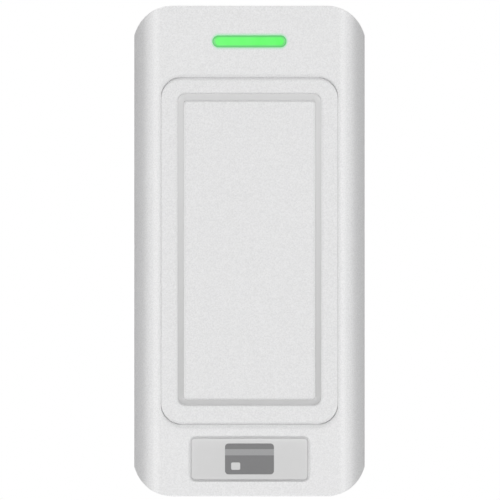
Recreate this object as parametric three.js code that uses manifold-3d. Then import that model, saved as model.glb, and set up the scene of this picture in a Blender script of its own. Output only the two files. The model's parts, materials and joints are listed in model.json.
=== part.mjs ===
// Slim wall-mounted card reader: a plastic housing that hooks onto a sheet-steel wall plate.
// Millimetres, +Z up. The reading face looks along -Y and the wall is the plane y = 0.
// The origin is the centre of the wall plate's back face.
//
// Below, a height is measured up from the housing's lower edge, and a depth is measured forward
// from the wall. `across` is the distance from the middle plane, which is plain x.

import * as THREE from "three";
import { mergeVertices } from "three/addons/utils/BufferGeometryUtils.js";
import Module from "manifold-3d";

// ---------------------------------------------------------------- driving dimensions

const GAP = 0.3; // clearance between pieces that touch in the real reader
const MERGE = 1e-4; // vertices closer than this are one vertex
const OVERSHOOT = 1; // how far a cutter runs past the face that it cuts

const COVER = {
  width: 48.5,
  height: 103,
  back: 0.8, // the rear rim stands this far off the wall
  front: 23,
  cornerWidth: 49.15, // the corner arcs belong to a slightly wider rounded rectangle
  cornerRadius: 8.4,
  frontWall: 2.2,
  sideWall: 2.1,
  endWall: 2,
  pocketRadius: 6.3,
  ledge: 1.5, // width of the step that carries the gasket
  ledgeDepth: 9.6,
};

// The long front edges lean back by an angle that depends on the distance in from the side: steep and
// nearly straight at first, then a roll at rollAt, then a faint crown that ends crownWidth in.
const EDGE = { steep: 47, rollAt: 3.2, rollLength: 0.42, crown: 10, crownWidth: 6.2, steps: 14 };

const WINDOW = {
  halfWidth: 18.5,
  low: 15.3,
  high: 87.7,
  radius: 3.8,
  lip: 0.4, // how far the rear flange reaches past the cover's opening
  edgeFillet: 1,
  flangeBack: 19.3,
  flangeFront: 20.5,
  pocketInset: 1.2, // the recess behind the reading panel stays this far inside the ring
  panelBack: 20.9,
};

const RING = {
  outer: { halfWidth: 15.15, low: 18.94, high: 84.74, radius: 1.5 },
  inner: { halfWidth: 13.75, low: 20.58, high: 82.8, radius: 0.5 },
  grooveFloor: 21.65,
  back: 21.95,
  front: 22.65,
  sideGap: 0.15,
};

const LIGHT = {
  height: 95.5,
  halfWidth: 7.75,
  halfHeight: 1.35,
  back: 15.6,
  flange: 1,
};

const BADGE = {
  height: 7.8,
  mouth: { halfWidth: 12.4, halfHeight: 4.8, radius: 0.85 },
  floor: { halfWidth: 12.2, halfHeight: 4.2, radius: 0.6 },
  slopeDepth: 0.9,
  recessDepth: 1.6,
  thickness: 0.4,
};

const CLAMP = {
  depth: 12, // the clamp screw's axis stands this far off the wall
  ceiling: 8.7, // the compartment round the nut ends here
  partition: 1.5,
  threadRadius: 1.5,
  headRadius: 2.8,
  headLow: 0.15,
  headHeight: 1.4,
  socketRadius: 1,
  socketTop: 1.35,
  screwTop: 8.4,
  screwChamfer: 0.4,
  nutLow: 4.9,
  nutHeight: 1.8,
  nutWidth: 5.5,
  guideLow: 5.4,
  guideFront: 17,
  guideThickness: 1.2,
};

const PLATE = {
  thickness: 1.2,
  halfWidth: 21.5,
  low: 3.4,
  high: 97,
  radius: 5,
  screwSlotHeights: [9.85, 21.5, 81.5, 93.15],
  screwSlotWidth: 3.8,
  screwSlotLength: 7,
  flangeDepth: 15.5,
  flangeHalfWidth: 8,
};

const HOOK = {
  across: 9,
  pivotDepth: 2.6,
  pivotHeight: 99.5,
  ribRadius: 0.8,
  ribWidth: 7,
  troughWidth: 8,
  troughFloor: 98.4,
  lipInner: 4,
  lipTop: 100.2,
};

const CABLE = { height: 36.5, plateHalfWidth: 7, plateRadius: 3, boreRadius: 3, coverHoleRadius: 4.2 };

const REAR = {
  low: 8.9,
  high: 100.7,
  lowRadius: 1.5,
  flangeBack: 6.4,
  flangeFront: 8.2,
  bulge: { halfWidth: 17, low: 17, high: 94, radius: 3 },
  bulgeBack: 4.4,
  bulgeWall: 1.5,
  screwAcross: 18.6,
  screwHeights: [12.4, 97],
  bossRadius: 2.5,
  pilotRadius: 1.4,
  gasketThickness: 0.8,
};

const BOARD = {
  back: 12,
  front: 13.6,
  halfWidth: 20,
  low: 10.5,
  high: 98.9,
  notchAcross: 15.8,
  notchHeight: 4.6,
  screws: [[-11, 12.1], [11, 12.1], [-13, 91.5], [13, 91.5]],
  standoffRadius: 2.2,
  holeRadius: 1.2,
};

const COIL = { halfWidth: 18, halfHeight: 35, width: 3.5, radius: 3, back: 16.4, front: 19, wall: 0.7 };

const TAMPER = {
  across: -11,
  height: 62,
  rodRadius: 1.3,
  collarRadius: 2,
  collarThickness: 0.7,
  tipDepth: 1.5,
  innerEnd: 9.8,
  bodyBack: 8.6,
  bodyWidth: 7,
  floor: 0.4,
};

// Pan-head screws: those of the rear cover and those of the circuit board.
const LID_SCREW = { headRadius: 2.1, headHeight: 1.5, shankRadius: 1.1, length: 9 };
const BOARD_SCREW = { headRadius: 1.9, headHeight: 1.3, shankRadius: 0.95, length: 5 };

// Parts on the circuit board: [across, height] of the middle, then width, length and thickness.
const FRONT_PARTS = {
  microcontroller: { at: [0, 60], size: [10, 10, 1.4], look: "chip" },
  rf_chip: { at: [0, 40], size: [6, 6, 0.9], look: "chip" },
  crystal: { at: [8.5, 58], size: [3.2, 5, 1.1], look: "steel" },
  status_led_1: { at: [-4.8, 95.5], size: [3.2, 2.8, 1.4], look: "lamp" },
  status_led_2: { at: [0, 95.5], size: [3.2, 2.8, 1.4], look: "lamp" },
  status_led_3: { at: [4.8, 95.5], size: [3.2, 2.8, 1.4], look: "lamp" },
};
const REGULATOR = { at: [9, 48], size: [6.6, 6.1, 2.3] };
const HEADER = { at: [0, 24], size: [22, 6, 4.6], wall: 0.9, floor: 1 };
const BUZZER = { at: [8, 76], radius: 4.75, tall: 4, soundHole: 1, soundDepth: 1.5 };
const CAPACITOR = { places: [[-9.5, 45.5], [-9.5, 52.5]], radius: 3.15, tall: 5.2 };

const MIDDLE = COVER.height / 2;
const INNER_FRONT = COVER.front - COVER.frontWall;
const POCKET_HALF = COVER.width / 2 - COVER.sideWall;
const CHAMBER_HALF = POCKET_HALF - COVER.ledge;
const CHAMBER_LOW = CLAMP.ceiling + CLAMP.partition;
const CHAMBER_HIGH = COVER.height - COVER.endWall - COVER.ledge;

// ---------------------------------------------------------------- finishes

const finish = (color, roughness, metalness = 0) =>
  new THREE.MeshStandardMaterial({ color, roughness, metalness });

const FINISH = {
  housing: () => finish(0xe3e3e3, 0.62),
  ring: () => finish(0xcfcfd0, 0.38),
  badge: () => finish(0xd3d3d3, 0.45),
  light: () => finish(0x74fc78, 0.25),
  steel: () => finish(0xb9bcc0, 0.4, 1),
  rearPlastic: () => finish(0xcfd0d1, 0.6),
  rubber: () => finish(0x26272a, 0.85),
  board: () => finish(0x1f5a38, 0.5),
  copper: () => finish(0xb8692f, 0.35, 1),
  chip: () => finish(0x202124, 0.55),
  former: () => finish(0xd8d3c4, 0.6),
  lamp: () => finish(0xf4f1dc, 0.3),
};

// ---------------------------------------------------------------- solids

const wasm = await Module();
wasm.setup();

const toFrame = (height) => height - MIDDLE;

/** Turns a closed three.js geometry into a solid that can be cut and joined. */
function solid(geometry) {
  const bare = geometry.clone();
  bare.deleteAttribute("normal");
  bare.deleteAttribute("uv");
  const merged = mergeVertices(bare, MERGE);
  const corners = merged.index.array;
  const triangles = [];
  for (let i = 0; i < corners.length; i += 3) {
    const [a, b, c] = corners.slice(i, i + 3);
    if (a !== b && b !== c && c !== a) triangles.push(a, b, c);
  }
  const mesh = new wasm.Mesh({
    numProp: 3,
    vertProperties: merged.attributes.position.array,
    triVerts: new Uint32Array(triangles),
  });
  return new wasm.Manifold(mesh);
}

/** Turns a solid back into a geometry for a mesh. */
function toGeometry(body) {
  const { vertProperties, triVerts } = body.getMesh();
  const geometry = new THREE.BufferGeometry();
  geometry.setAttribute("position", new THREE.BufferAttribute(vertProperties, 3));
  geometry.setIndex(new THREE.BufferAttribute(triVerts, 1));
  geometry.computeVertexNormals();
  return geometry;
}

const extrude = (shape, length, curveSegments = 3) =>
  new THREE.ExtrudeGeometry(shape, { depth: length, bevelEnabled: false, curveSegments });

/** Rounded rectangle in the front plane, between two heights. */
function outline({ halfWidth, low, high, radius, lowRadius = radius }, grow = 0) {
  const side = halfWidth + grow;
  const bottom = toFrame(low) - grow;
  const top = toFrame(high) + grow;
  const upper = Math.max(radius + grow, 0.1);
  const lower = Math.max(lowRadius + grow, 0.1);
  const shape = new THREE.Shape();
  shape.absarc(side - upper, top - upper, upper, 0, Math.PI / 2);
  shape.absarc(upper - side, top - upper, upper, Math.PI / 2, Math.PI);
  shape.absarc(lower - side, bottom + lower, lower, Math.PI, 1.5 * Math.PI);
  shape.absarc(side - lower, bottom + lower, lower, 1.5 * Math.PI, 2 * Math.PI);
  return shape;
}

/** The same, round a centre height. */
const centred = ({ halfWidth, halfHeight, radius }, height, grow = 0) =>
  outline({ halfWidth, low: height - halfHeight, high: height + halfHeight, radius }, grow);

/** Extrudes a front-plane shape between two depths. */
function slab(shape, back, front, curveSegments) {
  const geometry = extrude(shape, front - back, curveSegments);
  geometry.translate(0, 0, back);
  geometry.rotateX(Math.PI / 2);
  return solid(geometry);
}

/** A band between two outlines, between two depths. */
function band(outer, inner, back, front) {
  const shape = outer.clone();
  shape.holes.push(inner);
  return slab(shape, back, front);
}

/** Sweeps a (depth, height) profile across the reader. */
function crossbar(profile, across, width) {
  const points = profile.map(([depth, height]) => new THREE.Vector2(depth, toFrame(height)));
  const geometry = extrude(new THREE.Shape(points), width);
  geometry.translate(0, 0, -width / 2);
  const [ahead, above, left] = [[0, -1, 0], [0, 0, 1], [-1, 0, 0]].map((v) => new THREE.Vector3(...v));
  geometry.applyMatrix4(new THREE.Matrix4().makeBasis(ahead, above, left));
  geometry.translate(across, 0, 0);
  return solid(geometry);
}

const heightsAround = (height, length) => [height - length / 2, height + length / 2];

/** A block given by its centre across, its height range and its depth range. */
function block(across, width, [low, high], [back, front]) {
  const geometry = new THREE.BoxGeometry(width, front - back, high - low);
  geometry.translate(across, -(back + front) / 2, toFrame((low + high) / 2));
  return solid(geometry);
}

/** A round pin that points out of the wall. */
function pin(radius, across, height, back, front, sides = 20) {
  const geometry = new THREE.CylinderGeometry(radius, radius, front - back, sides);
  geometry.translate(across, -(back + front) / 2, toFrame(height));
  return solid(geometry);
}

/** Turns a closed [radius, depth] profile about an axis that points out of the wall. */
function turned(profile, across, height, sides = 20) {
  const points = profile.map(([radius, depth]) => new THREE.Vector2(radius, -depth));
  const geometry = new THREE.LatheGeometry(points.reverse(), sides);
  geometry.translate(across, 0, toFrame(height));
  return solid(geometry);
}

/** Turns a [radius, height] profile about an upright axis at a depth. */
function upright(profile, depth, sides = 20) {
  const points = profile.map(([radius, height]) => new THREE.Vector2(radius, toFrame(height)));
  const geometry = new THREE.LatheGeometry(points, sides);
  geometry.rotateX(Math.PI / 2);
  geometry.translate(0, -depth, 0);
  return solid(geometry);
}

/** Joins a stack of outlines with the same number of points, each at its own depth, from the back. */
function loft(sections, curveSegments = 3) {
  const rings = sections.map(([shape, depth]) =>
    shape.extractPoints(curveSegments).shape.map((p) => new THREE.Vector3(p.x, -depth, p.y)));
  const count = rings[0].length;
  const cap = THREE.ShapeUtils.triangulateShape(sections[0][0].extractPoints(curveSegments).shape, []);
  const last = (rings.length - 1) * count;
  const triangles = [];
  for (const [a, b, c] of cap) {
    triangles.push(a, c, b, last + a, last + b, last + c);
  }
  for (let ring = 0; ring < rings.length - 1; ring++) {
    for (let i = 0; i < count; i++) {
      const [a, b] = [ring * count + i, ring * count + ((i + 1) % count)];
      triangles.push(a, b, a + count, b, b + count, a + count);
    }
  }
  const geometry = new THREE.BufferGeometry().setFromPoints(rings.flat());
  geometry.setIndex(triangles);
  return solid(geometry);
}

const join = (...bodies) => bodies.reduce((whole, body) => whole.add(body));
const cut = (body, ...tools) => tools.reduce((rest, tool) => rest.subtract(tool), body);
const bothSides = (make) => [-1, 1].map(make);

// ---------------------------------------------------------------- front cover

/** How far a long edge leans back, in degrees, at an inset from the side. */
function edgeTilt(inset) {
  const roll = EDGE.steep / (1 + Math.exp((inset - EDGE.rollAt) / EDGE.rollLength));
  return roll + EDGE.crown * (1 - inset / EDGE.crownWidth);
}

/** A long edge as [inset, drop] points, from the flat face out to the side. */
function rolledEdge() {
  const width = EDGE.crownWidth / EDGE.steps;
  const points = [[EDGE.crownWidth, 0]];
  for (let step = 1; step <= EDGE.steps; step++) {
    const [inset, drop] = points.at(-1);
    const tilt = THREE.MathUtils.degToRad(edgeTilt(inset - width / 2));
    points.push([EDGE.crownWidth - step * width, drop + width * Math.tan(tilt)]);
  }
  return points;
}

/** Section of the housing, seen from above: straight sides and rolled long edges. */
function coverSection() {
  const half = COVER.width / 2;
  const right = rolledEdge().map(([inset, drop]) => [half - inset, COVER.front - drop]);
  const left = right.map(([across, depth]) => [-across, depth]);
  const points = [[-half, COVER.back], [half, COVER.back], ...right.reverse(), ...left];
  return new THREE.Shape(points.map(([across, depth]) => new THREE.Vector2(across, depth)));
}

/** The housing's outer form: the section along its height, trimmed to the rounded front outline. */
function coverBlank() {
  const bar = extrude(coverSection(), COVER.height, 4);
  const [right, ahead, down] = [[1, 0, 0], [0, -1, 0], [0, 0, -1]].map((v) => new THREE.Vector3(...v));
  bar.applyMatrix4(new THREE.Matrix4().makeBasis(right, ahead, down));
  bar.translate(0, 0, MIDDLE);
  const front = outline({
    halfWidth: COVER.cornerWidth / 2,
    low: 0,
    high: COVER.height,
    radius: COVER.cornerRadius,
  });
  return solid(bar).intersect(slab(front, 0, COVER.front + OVERSHOOT, 6));
}

/** The hollows behind the front wall: rear pocket, electronics chamber and clamp compartment. */
function coverHollows() {
  const pocket = outline({
    halfWidth: POCKET_HALF,
    low: COVER.endWall,
    high: COVER.height - COVER.endWall,
    radius: COVER.pocketRadius,
  });
  const chamber = outline({
    halfWidth: CHAMBER_HALF,
    low: CHAMBER_LOW,
    high: CHAMBER_HIGH,
    radius: COVER.pocketRadius - COVER.ledge,
    lowRadius: 1,
  });
  const compartment = outline({
    halfWidth: CHAMBER_HALF,
    low: COVER.endWall,
    high: CLAMP.ceiling,
    radius: 0.3,
    lowRadius: COVER.pocketRadius,
  });
  return [
    slab(pocket, 0, COVER.ledgeDepth),
    slab(chamber, COVER.ledgeDepth - OVERSHOOT, INNER_FRONT),
    slab(compartment, COVER.ledgeDepth - OVERSHOOT, INNER_FRONT),
  ];
}

/** The opening for the window insert, whose front edge rolls inwards. */
function windowOpening() {
  const steps = 3;
  const back = INNER_FRONT - OVERSHOOT;
  const sections = [[outline(WINDOW, GAP), back]];
  for (let step = 0; step <= steps; step++) {
    const angle = (step / steps) * (Math.PI / 2);
    const flare = WINDOW.edgeFillet * (1 - Math.cos(angle));
    const depth = COVER.front - WINDOW.edgeFillet * (1 - Math.sin(angle));
    sections.push([outline(WINDOW, GAP + flare), depth]);
  }
  sections.push([outline(WINDOW, GAP + WINDOW.edgeFillet), COVER.front + OVERSHOOT]);
  return loft(sections);
}

/** The badge's recess: sloping walls down to a straight-sided seat. */
function badgeRecess() {
  const floor = centred(BADGE.floor, BADGE.height);
  const mouth = centred(BADGE.mouth, BADGE.height);
  return loft([
    [floor, COVER.front - BADGE.recessDepth],
    [floor, COVER.front - BADGE.slopeDepth],
    [mouth, COVER.front],
    [mouth, COVER.front + OVERSHOOT],
  ]);
}

const lightOutline = (grow) => centred({ ...LIGHT, radius: LIGHT.halfHeight - 0.01 }, LIGHT.height, grow);

/** Posts for the rear cover's and the circuit board's screws, and the holes down them. */
function coverPosts() {
  const seated = INNER_FRONT + GAP;
  const corners = bothSides((side) => REAR.screwHeights.map((height) => [side * REAR.screwAcross, height]));
  const bosses = corners.flat();
  const posts = [
    ...bosses.map(([x, height]) => pin(REAR.bossRadius, x, height, COVER.ledgeDepth, seated)),
    ...BOARD.screws.map(([x, height]) => pin(BOARD.standoffRadius, x, height, BOARD.front + GAP, seated)),
  ];
  const pilots = [
    ...bosses.map(([x, height]) => pin(REAR.pilotRadius, x, height, COVER.back, INNER_FRONT - 1, 12)),
    ...BOARD.screws.map(([x, height]) => pin(BOARD.holeRadius, x, height, BOARD.front, INNER_FRONT - 1, 12)),
  ];
  return { posts, pilots };
}

/** The rib that drops into a hook of the wall plate; its round foot is the tilt axis. */
function hookRib(side) {
  const { pivotDepth, pivotHeight, ribRadius, ribWidth } = HOOK;
  const root = COVER.height - OVERSHOOT;
  const profile = [[pivotDepth + ribRadius, root], [pivotDepth - ribRadius, root]];
  const steps = 8;
  for (let step = 0; step <= steps; step++) {
    const angle = Math.PI * (1 + step / steps);
    const depth = pivotDepth + ribRadius * Math.cos(angle);
    profile.push([depth, pivotHeight + ribRadius * Math.sin(angle)]);
  }
  return crossbar(profile, side * HOOK.across, ribWidth);
}

/** The two walls that keep the clamp nut from turning. */
function nutGuide(side) {
  const across = side * (CLAMP.nutWidth / 2 + GAP + CLAMP.guideThickness / 2);
  const heights = [CLAMP.guideLow, CLAMP.ceiling + GAP];
  return block(across, CLAMP.guideThickness, heights, [COVER.ledgeDepth, CLAMP.guideFront]);
}

/** The countersunk hole for the clamp screw. */
function clampHole() {
  const wide = CLAMP.headRadius + GAP;
  const narrow = CLAMP.threadRadius + GAP;
  const coneTop = CLAMP.headLow + CLAMP.headHeight;
  const profile = [[0, -OVERSHOOT], [wide, -OVERSHOOT], [wide, CLAMP.headLow], [narrow, coneTop]];
  profile.push([narrow, COVER.endWall + OVERSHOOT], [0, COVER.endWall + OVERSHOOT]);
  return upright(profile, CLAMP.depth);
}

function frontCover() {
  const { posts, pilots } = coverPosts();
  const shell = cut(coverBlank(), ...coverHollows());
  const ribbed = join(shell, ...posts, ...bothSides(hookRib), ...bothSides(nutGuide));
  const lightSlot = slab(lightOutline(GAP), INNER_FRONT - OVERSHOOT, COVER.front + OVERSHOOT);
  return cut(ribbed, windowOpening(), lightSlot, badgeRecess(), clampHole(), ...pilots);
}

// ---------------------------------------------------------------- pieces set into the front

/** The grained insert in front of the antenna, with the ring's groove sunk into it. */
function fascia() {
  const flange = outline(WINDOW, GAP + WINDOW.lip);
  const groove = band(outline(RING.outer), outline(RING.inner), RING.grooveFloor, COVER.front + OVERSHOOT);
  const behindPanel = outline(RING.inner, -WINDOW.pocketInset);
  return cut(
    join(
      slab(outline(WINDOW), WINDOW.flangeBack, COVER.front),
      slab(flange, WINDOW.flangeBack, WINDOW.flangeFront),
    ),
    groove,
    slab(behindPanel, WINDOW.flangeBack - OVERSHOOT, WINDOW.panelBack),
  );
}

const ringInlay = () =>
  band(outline(RING.outer, -RING.sideGap), outline(RING.inner, RING.sideGap), RING.back, RING.front);

/** The status bar: a clear bar with a flange that stops it behind the front wall. */
const lightPipe = () =>
  join(
    slab(lightOutline(0), LIGHT.back, COVER.front),
    slab(lightOutline(LIGHT.flange), WINDOW.flangeBack, WINDOW.flangeFront),
  );

function badgePlate() {
  const back = COVER.front - BADGE.recessDepth + GAP;
  return slab(centred(BADGE.floor, BADGE.height, -GAP), back, back + BADGE.thickness);
}

// ---------------------------------------------------------------- wall plate and clamp

/** A hook bent out of the plate's top edge: a floor and an upturned lip. */
function plateHook(side) {
  const { lipInner, lipTop, troughFloor, troughWidth } = HOOK;
  const t = PLATE.thickness;
  const root = PLATE.high - 2;
  const profile = [[0, root], [t, root], [t, troughFloor - t], [lipInner + t, troughFloor - t]];
  profile.push([lipInner + t, lipTop], [lipInner, lipTop], [lipInner, troughFloor], [0, troughFloor]);
  return crossbar(profile, side * HOOK.across, troughWidth);
}

/** The flange at the plate's foot, with a slot that is open to the front. */
function plateFlange() {
  const t = PLATE.thickness;
  const width = 2 * PLATE.flangeHalfWidth;
  const tongue = block(0, width, [PLATE.low, PLATE.low + t], [t / 2, PLATE.flangeDepth]);
  const slotRadius = CLAMP.threadRadius + GAP;
  const heights = [PLATE.low - OVERSHOOT, PLATE.low + t + OVERSHOOT];
  const end = [[0, heights[0]], [slotRadius, heights[0]], [slotRadius, heights[1]], [0, heights[1]]];
  const mouth = block(0, 2 * slotRadius, heights, [CLAMP.depth, PLATE.flangeDepth + OVERSHOOT]);
  return cut(tongue, upright(end, CLAMP.depth), mouth);
}

function wallPlate() {
  const sheet = slab(outline(PLATE), 0, PLATE.thickness);
  const through = [-OVERSHOOT, PLATE.thickness + OVERSHOOT];
  const slots = PLATE.screwSlotHeights.map((height) => {
    const halfHeight = PLATE.screwSlotWidth / 2;
    const slot = { halfWidth: PLATE.screwSlotLength / 2, halfHeight, radius: halfHeight - 0.01 };
    return slab(centred(slot, height), ...through);
  });
  const { plateHalfWidth, plateRadius, height } = CABLE;
  const cableHole = { halfWidth: plateHalfWidth, halfHeight: plateHalfWidth, radius: plateRadius };
  const whole = join(sheet, plateFlange(), ...bothSides(plateHook));
  return cut(whole, slab(centred(cableHole, height), ...through), ...slots);
}

/** Countersunk clamp screw with a six-sided socket in its head. */
function clampScrew() {
  const { depth, threadRadius, headRadius, headLow, headHeight, screwTop, screwChamfer } = CLAMP;
  const { socketRadius, socketTop } = CLAMP;
  const profile = [[0, headLow], [headRadius, headLow], [threadRadius, headLow + headHeight]];
  profile.push([threadRadius, screwTop - screwChamfer], [threadRadius - screwChamfer, screwTop]);
  profile.push([0, screwTop]);
  const socket = [[0, -OVERSHOOT], [socketRadius, -OVERSHOOT], [socketRadius, socketTop], [0, socketTop]];
  return cut(upright(profile, depth), upright(socket, depth, 6));
}

function clampNut() {
  const { nutWidth, nutLow, nutHeight, depth, threadRadius } = CLAMP;
  const heights = [nutLow, nutLow + nutHeight];
  const body = block(0, nutWidth, heights, [depth - nutWidth / 2, depth + nutWidth / 2]);
  const radius = threadRadius + GAP;
  const hole = [[0, nutLow - 1], [radius, nutLow - 1], [radius, heights[1] + 1], [0, heights[1] + 1]];
  return cut(body, upright(hole, depth));
}

// ---------------------------------------------------------------- rear cover

const rearOutline = (grow = 0) =>
  outline(
    {
      halfWidth: POCKET_HALF - GAP,
      low: REAR.low,
      high: REAR.high,
      radius: COVER.pocketRadius - GAP,
      lowRadius: REAR.lowRadius,
    },
    grow,
  );

const rearScrewPlaces = REAR.screwHeights.flatMap((h) => [[-REAR.screwAcross, h], [REAR.screwAcross, h]]);

/** The rear lid: a flat rim and a raised middle that makes room for the tall parts. */
function rearCover() {
  const { bulge, bulgeBack, bulgeWall, flangeBack, flangeFront, pilotRadius } = REAR;
  const lid = join(
    slab(rearOutline(), flangeBack, flangeFront),
    slab(outline(bulge), bulgeBack, flangeBack + OVERSHOOT),
  );
  const hollow = slab(outline(bulge, -bulgeWall), bulgeBack + bulgeWall, flangeFront + OVERSHOOT);
  const holes = rearScrewPlaces.map(([x, h]) => pin(pilotRadius, x, h, bulgeBack, flangeFront + 1, 12));
  const cableHole = pin(CABLE.coverHoleRadius, 0, CABLE.height, bulgeBack - 1, flangeFront);
  const plungerHole = pin(TAMPER.rodRadius + 1.3, TAMPER.across, TAMPER.height, bulgeBack - 1, flangeFront);
  return cut(lid, hollow, ...holes, cableHole, plungerHole);
}

/** The flat seal between the ledge and the rear lid, with an eye round each screw. */
function rearGasket() {
  const back = REAR.flangeFront + GAP;
  const front = back + REAR.gasketThickness;
  const inner = outline({
    halfWidth: CHAMBER_HALF + 0.1,
    low: CHAMBER_LOW - 0.1,
    high: CHAMBER_HIGH + 0.1,
    radius: COVER.pocketRadius - COVER.ledge,
    lowRadius: 1,
  });
  const eyes = rearScrewPlaces.map(([x, h]) => pin(REAR.bossRadius, x, h, back, front));
  const holes = rearScrewPlaces.map(([x, h]) => pin(REAR.pilotRadius, x, h, back - 1, front + 1, 12));
  const seal = join(band(rearOutline(), inner, back, front), ...eyes);
  return cut(seal.intersect(slab(rearOutline(), back - 1, front + 1)), ...holes);
}

/** The rubber bush that the reader's cable passes through. */
function cableGrommet() {
  const { boreRadius, coverHoleRadius, height } = CABLE;
  const rim = coverHoleRadius + 1.3;
  const neck = coverHoleRadius - GAP;
  const flange = 1.2;
  const outside = REAR.bulgeBack - GAP;
  const inside = REAR.bulgeBack + REAR.bulgeWall + GAP;
  const profile = [[boreRadius, outside - flange], [rim, outside - flange], [rim, outside], [neck, outside]];
  profile.push([neck, inside], [rim, inside], [rim, inside + flange], [boreRadius, inside + flange]);
  profile.push(profile[0]);
  return turned(profile, 0, height, 28);
}

/** A pan-head screw that points forward, with the back of its head at the origin. */
function panScrew({ headRadius, headHeight, shankRadius, length }) {
  const [round, point] = [0.4, 0.6];
  const end = headHeight + length;
  const profile = [[0, 0], [headRadius - round, 0], [headRadius, round], [headRadius, headHeight]];
  profile.push([shankRadius, headHeight], [shankRadius, end - point], [0, end]);
  const recess = { across: 2, slot: 0.5, deep: 0.7 };
  const slots = [[recess.across, recess.slot], [recess.slot, recess.across]].map(([width, length]) =>
    block(0, width, heightsAround(MIDDLE, length), [-OVERSHOOT, recess.deep]));
  return cut(turned(profile, 0, MIDDLE, 16), ...slots);
}

// ---------------------------------------------------------------- electronics

/** The circuit board, notched round the corner bosses. */
function circuitBoard() {
  const { halfWidth, low, high, notchAcross, notchHeight, back, front, screws, holeRadius } = BOARD;
  const sheet = slab(outline({ halfWidth, low, high, radius: 0.3 }), back, front, 1);
  const notches = bothSides((side) => {
    const across = (side * (notchAcross + halfWidth + OVERSHOOT)) / 2;
    const width = halfWidth + OVERSHOOT - notchAcross;
    const depths = [back - 1, front + 1];
    return [
      block(across, width, [low - 1, low + notchHeight], depths),
      block(across, width, [high - notchHeight, high + 1], depths),
    ];
  });
  const holes = screws.map(([x, h]) => pin(holeRadius, x, h, back - 1, front + 1, 12));
  return cut(sheet, ...notches.flat(), ...holes);
}

const coilRing = (inset) => ({
  halfWidth: COIL.halfWidth - inset,
  low: MIDDLE - COIL.halfHeight + inset,
  high: MIDDLE + COIL.halfHeight - inset,
  radius: COIL.radius,
});

/** The frame that the antenna is wound on: a channel that opens outwards. */
function coilFormer() {
  const { back, front, wall, width } = COIL;
  const frame = band(outline(coilRing(0)), outline(coilRing(width)), back, front);
  const channel = band(outline(coilRing(-1)), outline(coilRing(width / 2)), back + wall, front - wall);
  return cut(frame, channel);
}

function antennaCoil() {
  const { back, front, wall, width } = COIL;
  const inside = width / 2 - GAP;
  return band(
    outline(coilRing(GAP)),
    outline(coilRing(inside)),
    back + wall + GAP,
    front - wall - GAP,
  );
}

const REAR_SEAT = BOARD.back - GAP; // where parts on the board's rear face stand
const FRONT_SEAT = BOARD.front + GAP;

const frontPart = ({ at: [across, height], size: [width, length, thickness] }) =>
  block(across, width, heightsAround(height, length), [FRONT_SEAT, FRONT_SEAT + thickness]);

const rearPart = ({ at: [across, height], size: [width, length, thickness] }) =>
  block(across, width, heightsAround(height, length), [REAR_SEAT - thickness, REAR_SEAT]);

const can = ([across, height], radius, tall) => pin(radius, across, height, REAR_SEAT - tall, REAR_SEAT, 24);

/** The sounder: a round can with a sound hole. */
function buzzer() {
  const { at, radius, tall, soundHole, soundDepth } = BUZZER;
  const lid = REAR_SEAT - tall;
  return cut(can(at, radius, tall), pin(soundHole, ...at, lid - OVERSHOOT, lid + soundDepth, 12));
}

/** The socket for the cable's plug, open to the rear. */
function wireHeader() {
  const { at: [across, height], size: [width, length, tall], wall, floor } = HEADER;
  const depths = [REAR_SEAT - tall - OVERSHOOT, REAR_SEAT - floor];
  const socket = block(across, width - 2 * wall, heightsAround(height, length - 2 * wall), depths);
  return cut(rearPart(HEADER), socket);
}

/** The switch body that the plunger runs in. */
function tamperSwitch() {
  const { across, height, rodRadius, bodyBack, bodyWidth, floor } = TAMPER;
  const body = rearPart({ at: [across, height], size: [bodyWidth, bodyWidth, REAR_SEAT - bodyBack] });
  return cut(body, pin(rodRadius + GAP, across, height, bodyBack - OVERSHOOT, REAR_SEAT - floor));
}

/** The plunger: a rod with a round tip and the collar that keeps it in the reader. */
function tamperPlunger() {
  const { across, height, rodRadius, collarRadius, collarThickness, tipDepth, innerEnd } = TAMPER;
  const tipRound = 0.5;
  const collarBack = REAR.bulgeBack + REAR.bulgeWall + GAP;
  const collarFront = collarBack + collarThickness;
  const profile = [[0, tipDepth], [rodRadius - tipRound, tipDepth], [rodRadius, tipDepth + tipRound]];
  profile.push([rodRadius, collarBack], [collarRadius, collarBack], [collarRadius, collarFront]);
  profile.push([rodRadius, collarFront], [rodRadius, innerEnd], [0, innerEnd]);
  return turned(profile, across, height);
}

/** The rubber ring round the plunger, in the rear lid. */
function plungerSeal() {
  const { across, height, rodRadius } = TAMPER;
  const [bore, neck, rim] = [rodRadius + GAP, rodRadius + 1, rodRadius + 2.1];
  const outside = REAR.bulgeBack - GAP;
  const profile = [[bore, outside - 0.8], [rim, outside - 0.8], [rim, outside], [neck, outside]];
  profile.push([neck, REAR.bulgeBack + REAR.bulgeWall], [bore, REAR.bulgeBack + REAR.bulgeWall]);
  profile.push(profile[0]);
  return turned(profile, across, height);
}

// ---------------------------------------------------------------- assembly

const named = (name, body, material) => {
  const mesh = new THREE.Mesh(toGeometry(body), material);
  mesh.name = name;
  return mesh;
};

/** Places copies of one screw, whose head ends at the depth `seat`, at [across, height] places. */
function screwSet(name, size, seat, places) {
  return places.map(([across, height], index) => {
    const screw = named(`${name}_${index + 1}`, panScrew(size), FINISH.steel());
    screw.position.set(across, size.headHeight - seat, toFrame(height));
    return screw;
  });
}

function wallSide() {
  const side = new THREE.Group();
  side.add(named("wall_plate", wallPlate(), FINISH.steel()));
  return side;
}

function clampPieces() {
  const clamp = new THREE.Group();
  clamp.add(
    named("clamp_screw", clampScrew(), FINISH.steel()),
    named("clamp_nut", clampNut(), FINISH.steel()),
  );
  return clamp;
}

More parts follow.
